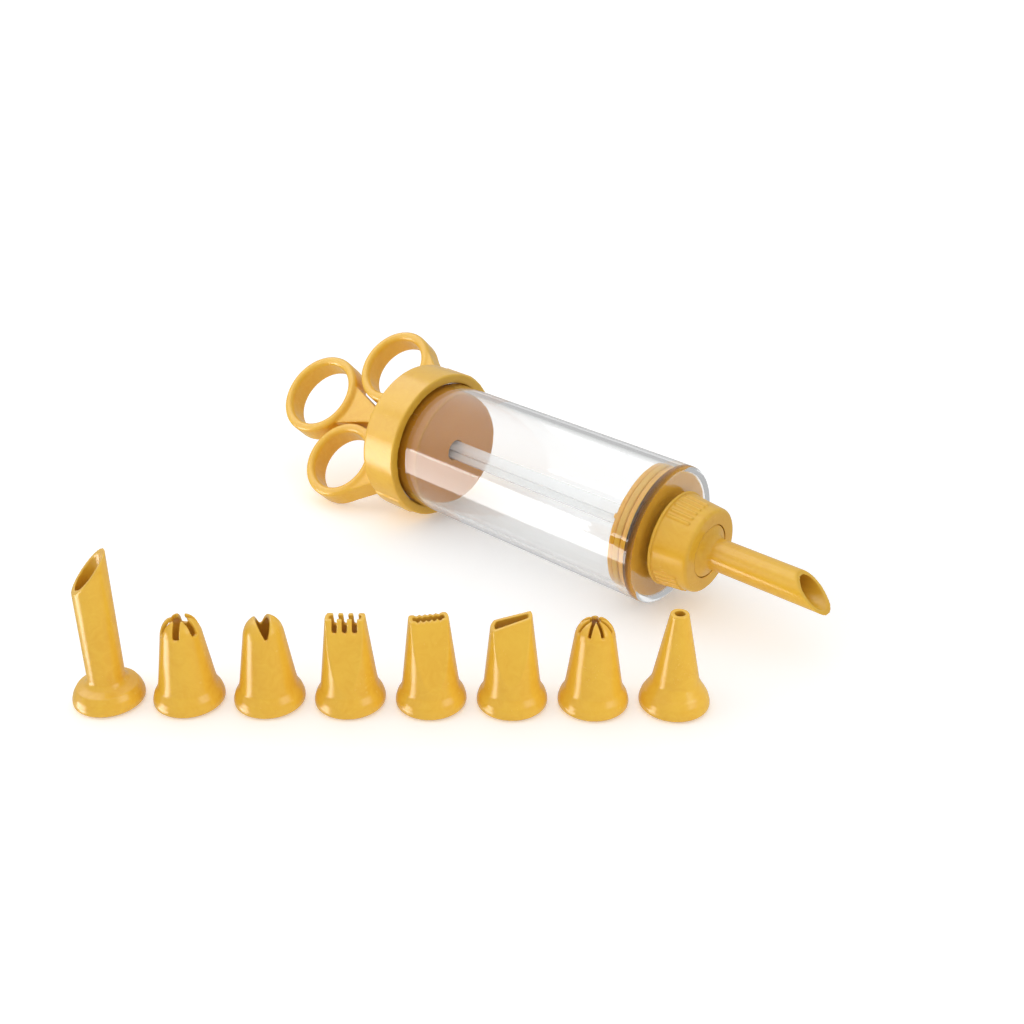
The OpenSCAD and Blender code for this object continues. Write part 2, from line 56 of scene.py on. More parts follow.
bl_info = {
    "name": "Pastry syringe",
    "version": (1, 0, 0),
    "blender": (4, 5, 0),
    "location": "View3D > Sidebar > Syringe",
    "description": "Dresses the pastry syringe's CAD frame with moulded pieces, finishes and a white studio",
    "category": "Object",
}

LOOSE_NOZZLES = (
    "filling_nozzle",
    "open_star_nozzle",
    "leaf_nozzle",
    "basket_nozzle",
    "ribbon_nozzle",
    "petal_nozzle",
    "closed_star_nozzle",
    "writing_nozzle",
)
LOOSE_PIECES = tuple("moulded_" + node for node in LOOSE_NOZZLES)
CLEAR_PIECES = ("clear_barrel", "ribbed_rod")

# Edges of the rod: what counts as one point, as flat and as a sharp edge
SAME_POINT = 1e-6
FLAT_TURN = math.radians(1)
SHARP_TURN = math.radians(28)

# Finishes: grains are depths in metres, the rest are shares
PLASTIC_CLOUDING = 0.35
PLASTIC_GRAIN = 0.00004
SEAL_ROUGHNESS = 0.46
SEAL_CLOUDING = 0.3
SEAL_GRAIN = 0.00008
BARREL_EDGE_GREY = 0.6
STEEL_LINE_SHADE = 0.82

# A ray that is mirrored more often than this inside a clear wall passes straight on
MOST_REFLECTIONS = 1

# Floor and room: lengths in metres, and directions from the part towards the light
FLOOR_REACH = 6.0
FLOOR_DROP = 0.0001
GLOW_TOWARDS = (-0.30, -0.10, 1.0)
GLOW_FULL = 0.95
PANEL_TOWARDS = (-0.586, -0.766, -0.262)
PANEL_EDGE = math.radians(20)
PANEL_CORE = math.radians(17)

# Lamps: places from the middle of the part, and widths and heights, all in metres
SIDE_PLACE = (-0.62, -0.66, 0.34)
SIDE_SIZE = (0.7, 0.46)
ROOF_PLACE = (-0.586, 0.0, 0.81)
ROOF_SIZE = (0.9, 0.9)
ROW_PLACE = (0.80, 0.16, 0.42)
ROW_SIZE = (0.5, 0.5)

# Camera: its sensor in millimetres, and the nearest distance that it sees in metres
SENSOR_WIDTH = 36
NEAREST_SEEN = 0.01


class SyringeFinish(bpy.types.PropertyGroup):
    """Colours and gloss of the syringe's materials."""

    yellow: FloatVectorProperty(
        name="Yellow",
        description="Main colour of the moulded yellow plastic",
        subtype="COLOR",
        size=3,
        min=0,
        max=1,
        default=(0.84, 0.50, 0.048),
    )
    # Painted shade: the rod guide is the same yellow plastic, and this darker, deeper orange stands in for
    # the shade it sits in behind the barrel
    inner: FloatVectorProperty(
        name="Inner yellow",
        description="Colour of the rod guide, seen through the clear barrel",
        subtype="COLOR",
        size=3,
        min=0,
        max=1,
        default=(0.62, 0.235, 0.013),
    )
    # Painted light and shade: the piston is the same yellow plastic, and this brighter, more orange copy
    # stands in for the light and the orange shade on its disc face behind the collar nut
    piston: FloatVectorProperty(
        name="Piston orange",
        description="Colour of the piston disc at the front of the barrel",
        subtype="COLOR",
        size=3,
        min=0,
        max=1,
        default=(0.93, 0.49, 0.05),
    )
    # Amber: the plastic's own colour in its flow marks, and painted shade where creases and inner corners
    # are darkened
    amber_and_painted_shade: FloatVectorProperty(
        name="Amber",
        description="Deeper colour of the yellow plastic in its creases and flow marks",
        subtype="COLOR",
        size=3,
        min=0,
        max=1,
        default=(0.72, 0.32, 0.016),
    )
    # Painted highlight: the paler colour laid on convex edges, where the rounding catches the light
    painted_highlight_straw: FloatVectorProperty(
        name="Straw",
        description="Paler colour of the yellow plastic where hands rub its edges",
        subtype="COLOR",
        size=3,
        min=0,
        max=1,
        default=(0.86, 0.56, 0.09),
    )
    clear_tint: FloatVectorProperty(
        name="Clear tint",
        description="Colour that the barrel's clear plastic leaves in the light",
        subtype="COLOR",
        size=3,
        min=0,
        max=1,
        default=(0.985, 0.99, 0.99),
    )
    steel: FloatVectorProperty(
        name="Steel",
        description="Colour of the rod pin and the piston screw",
        subtype="COLOR",
        size=3,
        min=0,
        max=1,
        default=(0.58, 0.59, 0.60),
    )
    plastic_gloss: FloatProperty(
        name="Plastic roughness",
        description="Mean roughness of the yellow plastic",
        subtype="FACTOR",
        min=0,
        max=1,
        default=0.24,
    )
    clear_ior: FloatProperty(
        name="Clear plastic index",
        description="Refractive index of the barrel's clear plastic",
        min=1,
        max=2,
        default=1.49,
    )


class SyringeForm(bpy.types.PropertyGroup):
    """How softly the moulded pieces are rounded over."""

    handle_skin: FloatProperty(
        name="Handle skin",
        description="Mesh width on the finger cap, the rod guide and the thumb ring",
        unit="LENGTH",
        subtype="DISTANCE",
        default=0.00042,
    )
    collar_skin: FloatProperty(
        name="Collar skin",
        description="Mesh width on the collar nut, fine enough for its grip ribs",
        unit="LENGTH",
        subtype="DISTANCE",
        default=0.00022,
    )
    piston_skin: FloatProperty(
        name="Piston skin",
        description="Mesh width on the piston",
        unit="LENGTH",
        subtype="DISTANCE",
        default=0.00030,
    )
    nozzle_skin: FloatProperty(
        name="Nozzle skin",
        description="Mesh width on the nozzles",
        unit="LENGTH",
        subtype="DISTANCE",
        default=0.00028,
    )
    easing: IntProperty(
        name="Easing",
        description="How many times the skin is eased, which rounds its edges and corners",
        min=1,
        max=40,
        default=7,
    )
    collar_easing: IntProperty(
        name="Collar easing",
        description="How many times the collar nut's skin is eased, which rounds its grip ribs",
        min=1,
        max=40,
        default=1,
    )
    rod_edge: FloatProperty(
        name="Rod edge",
        description="Radius on the plunger rod's rib edges",
        unit="LENGTH",
        subtype="DISTANCE",
        default=0.00025,
    )


class SyringeStudio(bpy.types.PropertyGroup):
    """The floor, the light and the camera."""

    floor_white: FloatProperty(
        name="Floor white",
        description="How much light the floor gives back",
        subtype="FACTOR",
        min=0,
        max=1,
        default=0.90,
    )
    floor_lift: FloatProperty(
        name="Floor lift",
        description="Light from under the white floor, which keeps its shadows faint",
        min=0,
        default=0.25,
    )
    room_light: FloatProperty(
        name="Room light",
        description="Brightness of the room at the horizon",
        min=0,
        default=0.49,
    )
    backdrop: FloatProperty(
        name="Backdrop",
        description="Brightness of the white backdrop that the camera sees past the floor",
        min=0,
        default=1.05,
    )
    top_light: FloatProperty(
        name="Top light",
        description="Brightness of the wide soft light above",
        min=0,
        default=1.06,
    )
    side_power: FloatProperty(
        name="Side light",
        description="Power of the standing soft light on the camera's left",
        unit="POWER",
        min=0,
        default=1.7,
    )
    row_power: FloatProperty(
        name="Row light",
        description="Power of the soft light on the camera's right, which lights only the loose nozzles",
        unit="POWER",
        min=0,
        default=2.0,
    )
    roof_power: FloatProperty(
        name="Roof light",
        description="Power of the white roof that shiny surfaces mirror from above",
        unit="POWER",
        min=0,
        default=4.5,
    )
    side_gleam: FloatProperty(
        name="Side gleam",
        description="Brightness of the wide white panel that shiny surfaces mirror on the camera's left",
        min=0,
        default=7.0,
    )
    camera_place: FloatVectorProperty(
        name="Camera place",
        description="Where the camera stands",
        subtype="TRANSLATION",
        unit="LENGTH",
        size=3,
        default=(0.2656, -0.2422, 0.2141),
    )
    camera_heading: FloatProperty(
        name="Camera heading",
        description="Turn of the camera about the vertical, from looking along +Y towards -X",
        subtype="ANGLE",
        default=math.radians(40.76),
    )
    camera_dip: FloatProperty(
        name="Camera dip",
        description="How far the camera looks down",
        subtype="ANGLE",
        default=math.radians(26.14),
    )
    camera_lens: FloatProperty(
        name="Camera lens",
        description="Focal length on a 36 mm sensor",
        subtype="DISTANCE_CAMERA",
        default=42.19,
    )


def cad_node(name):
    """A CAD node's object, or an error that names what is missing."""
    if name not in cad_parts:
        raise RuntimeError("the frame has no node called " + name)
    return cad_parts[name]


def keep_piece(piece, node, body, material):
    """Give a new piece its finish, let it move with a body and stand for a CAD node."""
    piece.data.materials.clear()
    piece.data.materials.append(material)
    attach(piece, body)
    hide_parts(node)
    return piece


def frame_finish(node):
    """The plain material that a CAD node brings along from the frame."""
    return cad_node(node).material_slots[0].material


def repaint(node, material):
    """Give a CAD node that stays in view its finished material."""
    for holder in cad_node(node).material_slots:
        holder.material = material


def moulded_copy(node, name, skin, easing):
    """Copy a CAD node as one moulded skin whose edges and inner corners are rounded over."""
    piece = bpy.data.objects.new(name, cad_node(node).data.copy())
    bpy.context.scene.collection.objects.link(piece)
    wrap = piece.modifiers.new("wrap", "REMESH")
    wrap.mode = "VOXEL"
    wrap.voxel_size = skin
    ease = piece.modifiers.new("ease", "SMOOTH")
    ease.factor = 0.5
    ease.iterations = easing
    bpy.context.view_layer.update()
    shaped = piece.evaluated_get(bpy.context.evaluated_depsgraph_get())
    mesh = bpy.data.meshes.new_from_object(shaped)
    piece.modifiers.clear()
    rough = piece.data
    piece.data = mesh
    mesh.name = name
    bpy.data.meshes.remove(rough)
    mesh.shade_smooth()
    if len(mesh.polygons) == 0:
        raise RuntimeError("the moulded skin of " + node + " came out empty")
    return piece


def plain_copy(node, name):
    """Copy a CAD node as it is, as a piece of its own."""
    piece = bpy.data.objects.new(name, cad_node(node).data.copy())
    piece.data.name = name
    bpy.context.scene.collection.objects.link(piece)
    return piece


def edged_copy(node, name, radius):
    """Copy a CAD node with a small radius on every sharp edge, shaded so that its flat faces stay flat."""
    shape = bmesh.new()
    shape.from_mesh(cad_node(node).data)
    bmesh.ops.remove_doubles(shape, verts=shape.verts, dist=SAME_POINT)
    bmesh.ops.dissolve_limit(shape, angle_limit=FLAT_TURN, verts=shape.verts, edges=shape.edges)
    joined = [edge for edge in shape.edges if edge.is_manifold]
    sharp = [edge for edge in joined if edge.calc_face_angle() > SHARP_TURN]
    bmesh.ops.bevel(
        shape,
        geom=sharp,
        offset=radius,
        offset_type="OFFSET",
        segments=2,
        profile=0.5,
        affect="EDGES",
        clamp_overlap=True,
    )
    mesh = bpy.data.meshes.new(name)
    shape.to_mesh(mesh)
    shape.free()
    mesh.shade_smooth()
    piece = bpy.data.objects.new(name, mesh)
    bpy.context.scene.collection.objects.link(piece)
    flats = piece.modifiers.new("flats", "WEIGHTED_NORMAL")
    flats.keep_sharp = True
    return piece


def feed(tree, node, inputs):
    """Fill a node's inputs, each with a value or with the socket that feeds it."""
    for key, value in inputs.items():
        if isinstance(value, bpy.types.NodeSocket):
            tree.links.new(value, node.inputs[key])
        else:
            node.inputs[key].default_value = value


def add_node(tree, kind, label, inputs=None, **settings):
    """Add a shader node with its settings and inputs."""
    node = tree.nodes.new(kind)
    node.label = label
    for key, value in settings.items():
        setattr(node, key, value)
    feed(tree, node, inputs or {})
    return node


def new_group(name, inputs, outputs):
    """Start a shader node group; an input is (label, socket kind, default), an output (label, kind)."""
    tree = bpy.data.node_groups.new(name, "ShaderNodeTree")
    for label, kind, default in inputs:
        socket = tree.interface.new_socket(label, in_out="INPUT", socket_type=kind)
        socket.default_value = default
    for label, kind in outputs:
        tree.interface.new_socket(label, in_out="OUTPUT", socket_type=kind)
    return tree, tree.nodes.new("NodeGroupInput"), tree.nodes.new("NodeGroupOutput")


def place_group(tree, group, label, inputs):
    """Place a node group in a material with its own values."""
    node = tree.nodes.new("ShaderNodeGroup")
    node.node_tree = group
    node.label = label
    feed(tree, node, inputs)
    return node


def moulded_grain():
    """Group: clouding, flow marks and the fine grain that a steel mould leaves on plastic."""
    name = "moulded_grain"
    if name in bpy.data.node_groups:
        return bpy.data.node_groups[name]
    tree, given, made = new_group(
        name,
        (
            ("Colour", "NodeSocketColor", (0.8, 0.4, 0.1, 1)),
            ("Flow Colour", "NodeSocketColor", (0.6, 0.2, 0.05, 1)),
            ("Clouding", "NodeSocketFloat", 0.3),
            ("Roughness", "NodeSocketFloat", 0.3),
            ("Roughness Spread", "NodeSocketFloat", 0.1),
        ),
        (
            ("Colour", "NodeSocketColor"),
            ("Roughness", "NodeSocketFloat"),
            ("Height", "NodeSocketFloat"),
        ),
    )
    place = add_node(tree, "ShaderNodeTexCoord", "place")
    clouds = add_node(
        tree,
        "ShaderNodeTexNoise",
        "clouds in the melt",
        {"Vector": place.outputs["Object"], "Scale": 55.0, "Detail": 3.0, "Distortion": 0.6},
    )
    streaks = add_node(
        tree,
        "ShaderNodeTexNoise",
        "flow streaks",
        {"Vector": place.outputs["Object"], "Scale": 190.0, "Detail": 2.0, "Distortion": 2.5},
    )
    both = add_node(
        tree,
        "ShaderNodeMath",
        "clouds and streaks",
        {0: clouds.outputs["Fac"], 1: streaks.outputs["Fac"]},
        operation="MULTIPLY",
    )
    span = add_node(
        tree,
        "ShaderNodeMapRange",
        "span",
        {"Value": both.outputs[0], "From Min": 0.12, "From Max": 0.42},
    )
    share = add_node(
        tree,
        "ShaderNodeMath",
        "share",
        {0: span.outputs["Result"], 1: given.outputs["Clouding"]},
        operation="MULTIPLY",
    )
    colour = add_node(
        tree,
        "ShaderNodeMix",
        "melt colour",
        {0: share.outputs[0], 6: given.outputs["Colour"], 7: given.outputs["Flow Colour"]},
        data_type="RGBA",
    )
    grain = add_node(
        tree,
        "ShaderNodeTexNoise",
        "mould grain",
        {"Vector": place.outputs["Object"], "Scale": 2600.0, "Detail": 2.0, "Roughness": 0.6},
    )
    patches = add_node(
        tree,
        "ShaderNodeTexNoise",
        "polish patches",
        {"Vector": place.outputs["Object"], "Scale": 320.0, "Detail": 3.0},
    )
    middle = add_node(
        tree,
        "ShaderNodeMath",
        "about the middle",
        {0: patches.outputs["Fac"], 1: 0.5},
        operation="SUBTRACT",
    )
    gloss = add_node(
        tree,
        "ShaderNodeMath",
        "patchy gloss",
        {0: middle.outputs[0], 1: given.outputs["Roughness Spread"], 2: given.outputs["Roughness"]},
        operation="MULTIPLY_ADD",
    )
    tree.links.new(colour.outputs[2], made.inputs["Colour"])
    tree.links.new(gloss.outputs[0], made.inputs["Roughness"])
    tree.links.new(grain.outputs["Fac"], made.inputs["Height"])
    return tree


def edge_and_crease():
    """Group: masks of the convex edges, which get a painted highlight, and of the inner corners, which get
    painted shade.
    """
    name = "edge_and_crease"
    if name in bpy.data.node_groups:
        return bpy.data.node_groups[name]
    tree, given, made = new_group(
        name,
        (
            ("Edge", "NodeSocketFloat", 0.5),
            ("Crease", "NodeSocketFloat", 0.5),
        ),
        (
            ("Edge", "NodeSocketFloat"),
            ("Crease", "NodeSocketFloat"),
        ),
    )
    surface = add_node(tree, "ShaderNodeNewGeometry", "surface")
    # Pointiness above the middle marks convex edges for the painted highlight, below it inner corners for
    # the painted shade
    for label, near, far in (("Edge", 0.505, 0.60), ("Crease", 0.495, 0.42)):
        span = add_node(
            tree,
            "ShaderNodeMapRange",
            label,
            {"Value": surface.outputs["Pointiness"], "From Min": near, "From Max": far},
        )
        share = add_node(
            tree,
            "ShaderNodeMath",
            label + " share",
            {0: span.outputs["Result"], 1: given.outputs[label]},
            operation="MULTIPLY",
        )
        tree.links.new(share.outputs[0], made.inputs[label])
    return tree


def handling_scuffs():
    """Group: sparse fine scratches from washing and handling."""
    name = "handling_scuffs"
    if name in bpy.data.node_groups:
        return bpy.data.node_groups[name]
    tree, given, made = new_group(
        name,
        (
            ("Amount", "NodeSocketFloat", 0.5),
            ("Clean Roughness", "NodeSocketFloat", 0.05),
            ("Scuffed Roughness", "NodeSocketFloat", 0.2),
        ),
        (
            ("Roughness", "NodeSocketFloat"),
            ("Mask", "NodeSocketFloat"),
        ),
    )
    place = add_node(tree, "ShaderNodeTexCoord", "place")
    lines = []
    for label, turn, stretch in (
        ("long scratches", (0.2, 0.5, 0.7), (60.0, 3200.0, 900.0)),
        ("cross scratches", (0.9, 0.1, -0.6), (90.0, 2600.0, 1500.0)),
    ):
        laid = add_node(
            tree,
            "ShaderNodeMapping",
            label,
            {"Vector": place.outputs["Object"], "Rotation": turn, "Scale": stretch},
        )
        noise = add_node(
            tree,
            "ShaderNodeTexNoise",
            label,
            {"Vector": laid.outputs["Vector"], "Scale": 1.0, "Detail": 1.0},
        )
        span = add_node(
            tree,
            "ShaderNodeMapRange",
            label,
            {"Value": noise.outputs["Fac"], "From Min": 0.66, "From Max": 0.74},
        )
        lines.append(span.outputs["Result"])
    either = add_node(tree, "ShaderNodeMath", "either", {0: lines[0], 1: lines[1]}, operation="MAXIMUM")
    places = add_node(
        tree,
        "ShaderNodeTexNoise",
        "rubbed places",
        {"Vector": place.outputs["Object"], "Scale": 70.0, "Detail": 2.0},
    )
    where = add_node(
        tree,
        "ShaderNodeMapRange",
        "rubbed places",
        {"Value": places.outputs["Fac"], "From Min": 0.42, "From Max": 0.62},
    )
    kept = add_node(
        tree,
        "ShaderNodeMath",
        "scratches there",
        {0: either.outputs[0], 1: where.outputs["Result"]},
        operation="MULTIPLY",
    )
    mask = add_node(
        tree,
        "ShaderNodeMath",
        "amount",
        {0: kept.outputs[0], 1: given.outputs["Amount"]},
        operation="MULTIPLY",
    )
    gloss = add_node(
        tree,
        "ShaderNodeMix",
        "roughness",
        {0: mask.outputs[0], 2: given.outputs["Clean Roughness"], 3: given.outputs["Scuffed Roughness"]},
        data_type="FLOAT",
    )
    tree.links.new(gloss.outputs[0], made.inputs["Roughness"])
    tree.links.new(mask.outputs[0], made.inputs["Mask"])
    return tree


def new_material(name):
    """An empty node material with its Principled shader and output."""
    material = bpy.data.materials.new(name)
    material.use_nodes = True
    tree = material.node_tree
    return material, tree, tree.nodes["Principled BSDF"], tree.nodes["Material Output"]


def opaque(colour):
    """A colour property as the four numbers a socket takes."""
    return (colour[0], colour[1], colour[2], 1.0)


def moulded_plastic(name, colour, finish, roughness, clouding, grain_depth):
    """Moulded plastic or rubber with clouding, grain, a painted highlight on its edges, painted shade in its
    creases and fine scuffs.
    """
    if name in bpy.data.materials:
        return bpy.data.materials[name]
    material, tree, shader, _ = new_material(name)
    scuffs = place_group(
        tree,
        handling_scuffs(),
        "handling",
        {"Amount": 0.4, "Clean Roughness": roughness, "Scuffed Roughness": roughness + 0.1},
    )
    grain = place_group(
        tree,
        moulded_grain(),
        "moulding",
        {
            "Colour": opaque(colour),
            "Flow Colour": opaque(finish.amber_and_painted_shade),
            "Clouding": clouding,
            "Roughness": scuffs.outputs["Roughness"],
            "Roughness Spread": 0.10,
        },
    )
    # Painted highlight on the edges and painted shade in the creases, both found from the surface's
    # pointiness
    rubbed = place_group(tree, edge_and_crease(), "painted_highlight_and_shade", {"Edge": 0.55, "Crease": 0.75})
    # Painted highlight: convex edges are mixed towards the paler straw colour
    edges = add_node(
        tree,
        "ShaderNodeMix",
        "paler edges",
        {0: rubbed.outputs["Edge"], 6: grain.outputs["Colour"], 7: opaque(finish.painted_highlight_straw)},
        data_type="RGBA",
    )
    # Painted shade: creases and inner corners are mixed towards the amber colour
    creases = add_node(
        tree,
        "ShaderNodeMix",
        "deeper creases",
        {0: rubbed.outputs["Crease"], 6: edges.outputs[2], 7: opaque(finish.amber_and_painted_shade)},
        data_type="RGBA",
    )
    bump = add_node(
        tree,
        "ShaderNodeBump",
        "grain",
        {"Strength": 0.25, "Distance": grain_depth, "Height": grain.outputs["Height"]},
    )
    tree.links.new(creases.outputs[2], shader.inputs["Base Color"])
    tree.links.new(grain.outputs["Roughness"], shader.inputs["Roughness"])
    tree.links.new(bump.outputs["Normal"], shader.inputs["Normal"])
    shader.inputs["IOR"].default_value = 1.5
    return material


def clear_plastic(name, tint, index, edge_grey):
    """Clear plastic with fine scuffs that lets light through to what it covers."""
    material, tree, shader, output = new_material(name)
    scuffs = place_group(
        tree,
        handling_scuffs(),
        "handling",
        {"Amount": 0.6, "Clean Roughness": 0.012, "Scuffed Roughness": 0.16},
    )
    bump = add_node(
        tree,
        "ShaderNodeBump",
        "scuffs",
        {"Strength": 0.08, "Distance": 0.00002, "Height": scuffs.outputs["Mask"]},
    )
    slant = add_node(tree, "ShaderNodeLayerWeight", "slant", {"Blend": 0.35})
    depth = add_node(
        tree,
        "ShaderNodeMapRange",
        "depth of wall looked through",
        {"Value": slant.outputs["Facing"], "From Min": 0.45, "From Max": 1.0},
        interpolation_type="SMOOTHSTEP",
    )
    tone = add_node(
        tree,
        "ShaderNodeMix",
        "greyer at a slant",
        {0: depth.outputs["Result"], 6: opaque(tint), 7: opaque([c * edge_grey for c in tint])},
        data_type="RGBA",
    )
    tree.links.new(tone.outputs[2], shader.inputs["Base Color"])
    shader.inputs["Transmission Weight"].default_value = 1.0
    shader.inputs["IOR"].default_value = index
    tree.links.new(scuffs.outputs["Roughness"], shader.inputs["Roughness"])
    tree.links.new(bump.outputs["Normal"], shader.inputs["Normal"])
    path = add_node(tree, "ShaderNodeLightPath", "path")
    through = add_node(tree, "ShaderNodeBsdfTransparent", "light let through", {"Color": opaque(tint)})
    trapped = add_node(
        tree,
        "ShaderNodeMath",
        "trapped in the wall",
        {0: path.outputs["Glossy Depth"], 1: MOST_REFLECTIONS},
        operation="GREATER_THAN",
    )
    let_go = add_node(
        tree,
        "ShaderNodeMath",
        "let through",
        {0: path.outputs["Is Shadow Ray"], 1: trapped.outputs[0]},
        operation="MAXIMUM",
    )
    blend = add_node(tree, "ShaderNodeMixShader", "clear", {0: let_go.outputs[0]})
    tree.links.new(shader.outputs["BSDF"], blend.inputs[1])
    tree.links.new(through.outputs["BSDF"], blend.inputs[2])
    tree.links.new(blend.outputs["Shader"], output.inputs["Surface"])
    return material


def turned_steel(name, finish):
    """Bright steel with fine turning lines and scuffs."""
    material, tree, shader, _ = new_material(name)
    dark = opaque([c * STEEL_LINE_SHADE for c in finish.steel])
    place = add_node(tree, "ShaderNodeTexCoord", "place")
    lines = add_node(
        tree,
        "ShaderNodeTexWave",
        "turning lines",
        {"Vector": place.outputs["Object"], "Scale": 1500.0, "Distortion": 1.5, "Detail": 2.0},
    )
    shade = add_node(
        tree,
        "ShaderNodeMix",
        "line colour",
        {0: lines.outputs["Fac"], 6: opaque(finish.steel), 7: dark},
        data_type="RGBA",
    )
    scuffs = place_group(
        tree,
        handling_scuffs(),
        "handling",
        {"Amount": 0.8, "Clean Roughness": 0.22, "Scuffed Roughness": 0.45},
    )
    bump = add_node(
        tree,
        "ShaderNodeBump",
        "turning",
        {"Strength": 0.2, "Distance": 0.00002, "Height": lines.outputs["Fac"]},
    )
    tree.links.new(shade.outputs[2], shader.inputs["Base Color"])
    tree.links.new(scuffs.outputs["Roughness"], shader.inputs["Roughness"])
    tree.links.new(bump.outputs["Normal"], shader.inputs["Normal"])
    shader.inputs["Metallic"].default_value = 1.0
    return material


def hard_plastic(name, colour, finish):
    """Moulded plastic of one colour with the gloss, clouding and grain that all its pieces share."""
    return moulded_plastic(name, colour, finish, finish.plastic_gloss, PLASTIC_CLOUDING, PLASTIC_GRAIN)


def yellow_finish(finish):
    """The yellow plastic that the cap, the rings, the collar and the nozzles share."""
    return hard_plastic("yellow_moulded_plastic", finish.yellow, finish)


class SYRINGE_OT_barrel(bpy.types.Operator):
    """Make the clear barrel."""

    bl_idname = "syringe.barrel"
    bl_label = "Clear barrel"

    def execute(self, context):
        finish = context.scene.syringe_finish
        barrel = plain_copy("barrel", "clear_barrel")
        clear = clear_plastic("clear_barrel_plastic", finish.clear_tint, finish.clear_ior, BARREL_EDGE_GREY)
        keep_piece(barrel, "barrel", "barrel", clear)
        return {"FINISHED"}


class SYRINGE_OT_rear_cap(bpy.types.Operator):
    """Make the finger cap and the rod guide inside it."""

    bl_idname = "syringe.rear_cap"
    bl_label = "Finger cap and rod guide"

    def execute(self, context):
        finish = context.scene.syringe_finish
        form = context.scene.syringe_form
        cap = moulded_copy("finger_cap", "moulded_finger_cap", form.handle_skin, form.easing)
        keep_piece(cap, "finger_cap", "finger_cap", yellow_finish(finish))
        # The rod guide gets a darker copy of the yellow plastic: painted shade
        guide = moulded_copy("rod_guide", "moulded_rod_guide", form.handle_skin, form.easing)
        amber_and_painted_shade = hard_plastic("amber_moulded_plastic", finish.inner, finish)
        keep_piece(guide, "rod_guide", "rod_guide", amber_and_painted_shade)
        return {"FINISHED"}


class SYRINGE_OT_plunger(bpy.types.Operator):
    """Make the plunger: clear ribbed rod, thumb ring, pin and screw."""

    bl_idname = "syringe.plunger"
    bl_label = "Plunger"

    def execute(self, context):
        finish = context.scene.syringe_finish
        form = context.scene.syringe_form
        ring = moulded_copy("thumb_ring", "moulded_thumb_ring", form.handle_skin, form.easing)
        keep_piece(ring, "thumb_ring", "plunger", yellow_finish(finish))
        rod = edged_copy("plunger_rod", "ribbed_rod", form.rod_edge)
        keep_piece(rod, "plunger_rod", "plunger", frame_finish("plunger_rod"))
        steel = turned_steel("turned_steel", finish)
        repaint("rod_pin", steel)
        repaint("piston_screw", steel)
        return {"FINISHED"}


class SYRINGE_OT_piston(bpy.types.Operator):
    """Make the piston and finish its seal ring."""

    bl_idname = "syringe.piston"
    bl_label = "Piston and seal"

    def execute(self, context):
        finish = context.scene.syringe_finish
        form = context.scene.syringe_form
        # The piston gets a brighter, more orange copy of the yellow plastic: painted light and shade on its
        # disc face
        piston = moulded_copy("piston", "moulded_piston", form.piston_skin, form.easing)
        plastic = hard_plastic("piston_painted_light_and_shade", finish.piston, finish)
        keep_piece(piston, "piston", "piston", plastic)
        rubber = moulded_plastic(
            "yellow_seal_rubber",
            finish.yellow,
            finish,
            SEAL_ROUGHNESS,
            SEAL_CLOUDING,
            SEAL_GRAIN,
        )
        repaint("piston_seal", rubber)
        return {"FINISHED"}


class SYRINGE_OT_front(bpy.types.Operator):
    """Make the collar nut and the nozzle it holds."""

    bl_idname = "syringe.front"
    bl_label = "Collar nut and fitted nozzle"

    def execute(self, context):
        finish = context.scene.syringe_finish
        form = context.scene.syringe_form
        yellow = yellow_finish(finish)
        collar = moulded_copy("collar_nut", "moulded_collar_nut", form.collar_skin, form.collar_easing)
        keep_piece(collar, "collar_nut", "collar_nut", yellow)
        nozzle = moulded_copy("fitted_nozzle", "moulded_fitted_nozzle", form.nozzle_skin, form.easing)
        keep_piece(nozzle, "fitted_nozzle", "fitted_nozzle", yellow)
        return {"FINISHED"}


class SYRINGE_OT_loose_nozzles(bpy.types.Operator):
    """Make the eight loose nozzles."""

    bl_idname = "syringe.loose_nozzles"
    bl_label = "Loose nozzles"

    def execute(self, context):
        finish = context.scene.syringe_finish
        form = context.scene.syringe_form
        yellow = yellow_finish(finish)
        for node in LOOSE_NOZZLES:
            nozzle = moulded_copy(node, "moulded_" + node, form.nozzle_skin, form.easing)
            keep_piece(nozzle, node, node, yellow)
        return {"FINISHED"}


def soft_light(name, power, place, size, pieces, state):
    """A soft light turned to the middle of the part, which lights only some pieces or leaves them out."""
    lamp = bpy.data.objects.new(name, bpy.data.lights.new(name, "AREA"))
    lamp.data.shape = "RECTANGLE"
    lamp.data.size = size[0]
    lamp.data.size_y = size[1]
    lamp.data.energy = power
    low, high = (Vector(corner) for corner in CAD_BOX)
    middle = (low + high) / 2
    lamp.location = middle + Vector(place)
    lamp.rotation_euler = (middle - lamp.location).to_track_quat("-Z", "Y").to_euler()
    lamp.visible_camera = False
    linked = bpy.data.collections.new(name + "_pieces")
    for piece in pieces:
        linked.objects.link(bpy.data.objects[piece])
    for entry in linked.collection_objects:
        entry.light_linking.link_state = state
    lamp.light_linking.receiver_collection = linked
    bpy.context.scene.collection.objects.link(lamp)
    return lamp


def lay_floor(studio):
    """The plain pale floor, which isn't part of the object."""
    shape = bmesh.new()
    bmesh.ops.create_grid(shape, x_segments=1, y_segments=1, size=FLOOR_REACH)
    mesh = bpy.data.meshes.new("studio_floor")
    shape.to_mesh(mesh)
    shape.free()
    floor = bpy.data.objects.new("studio_floor", mesh)
    floor.location = (0, 0, -FLOOR_DROP)
    floor.visible_glossy = False
    bpy.context.scene.collection.objects.link(floor)
    material, _, shader, _ = new_material("studio_white")
    shader.inputs["Base Color"].default_value = opaque([studio.floor_white] * 3)
    shader.inputs["Roughness"].default_value = 0.7
    shader.inputs["Specular IOR Level"].default_value = 0.2
    shader.inputs["Emission Color"].default_value = (1, 1, 1, 1)
    shader.inputs["Emission Strength"].default_value = studio.floor_lift
    mesh.materials.append(material)


